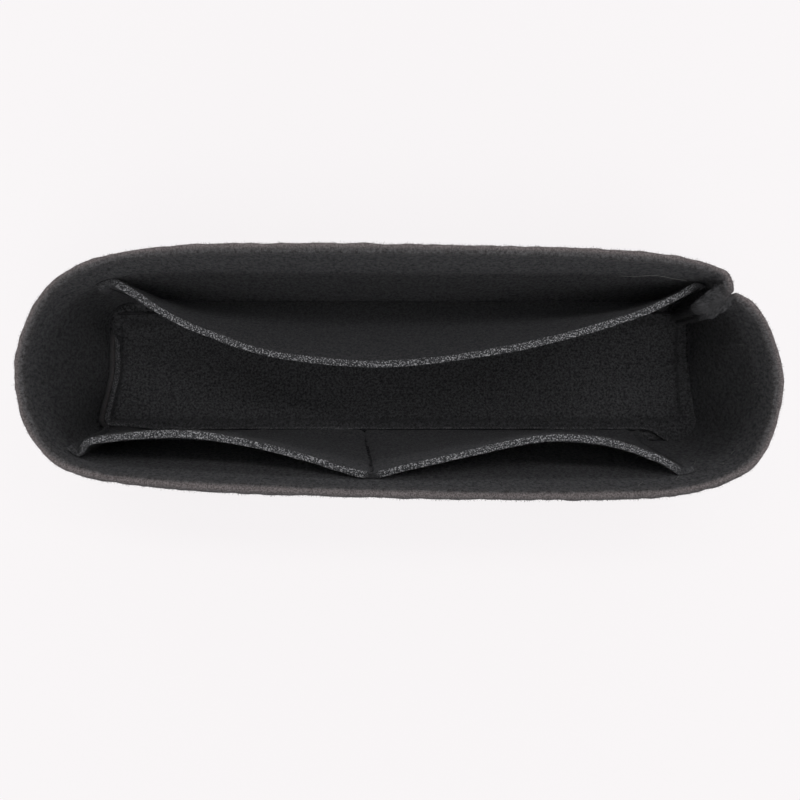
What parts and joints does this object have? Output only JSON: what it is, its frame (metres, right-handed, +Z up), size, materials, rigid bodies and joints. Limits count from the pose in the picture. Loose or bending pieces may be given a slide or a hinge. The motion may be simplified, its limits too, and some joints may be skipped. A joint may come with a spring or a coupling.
{
  "type": "purse organizer insert",
  "caption": "Tall open felt tub that stands in a handbag and sorts its contents, with a sewn base, a wide bowed pocket along the back and tacked pockets along the front.",
  "frame": {"origin": "centre of the bounding box at the resting face", "axes": "+X along the length, +Y towards the wide pocket at the back, +Z up"},
  "size_m": [0.2502, 0.0834, 0.14],
  "materials": {
    "felt": "matte needled felt",
    "thread": "satin polyester thread"
  },
  "bodies": {
    "root": {"wall_band": "felt", "base_panel": "felt", "back_pocket_panel": "felt", "front_pocket_panel": "felt", "base_seam_needle_thread": "thread", "base_seam_bobbin_thread": "thread", "corner_seam_needle_thread": "thread", "corner_seam_bobbin_thread": "thread", "back_left_needle_thread": "thread", "back_left_bobbin_thread": "thread", "back_right_needle_thread": "thread", "back_right_bobbin_thread": "thread", "front_left_needle_thread": "thread", "front_left_bobbin_thread": "thread", "front_centre_needle_thread": "thread", "front_centre_bobbin_thread": "thread", "front_right_needle_thread": "thread", "front_right_bobbin_thread": "thread"}
  },
  "joints": []
}
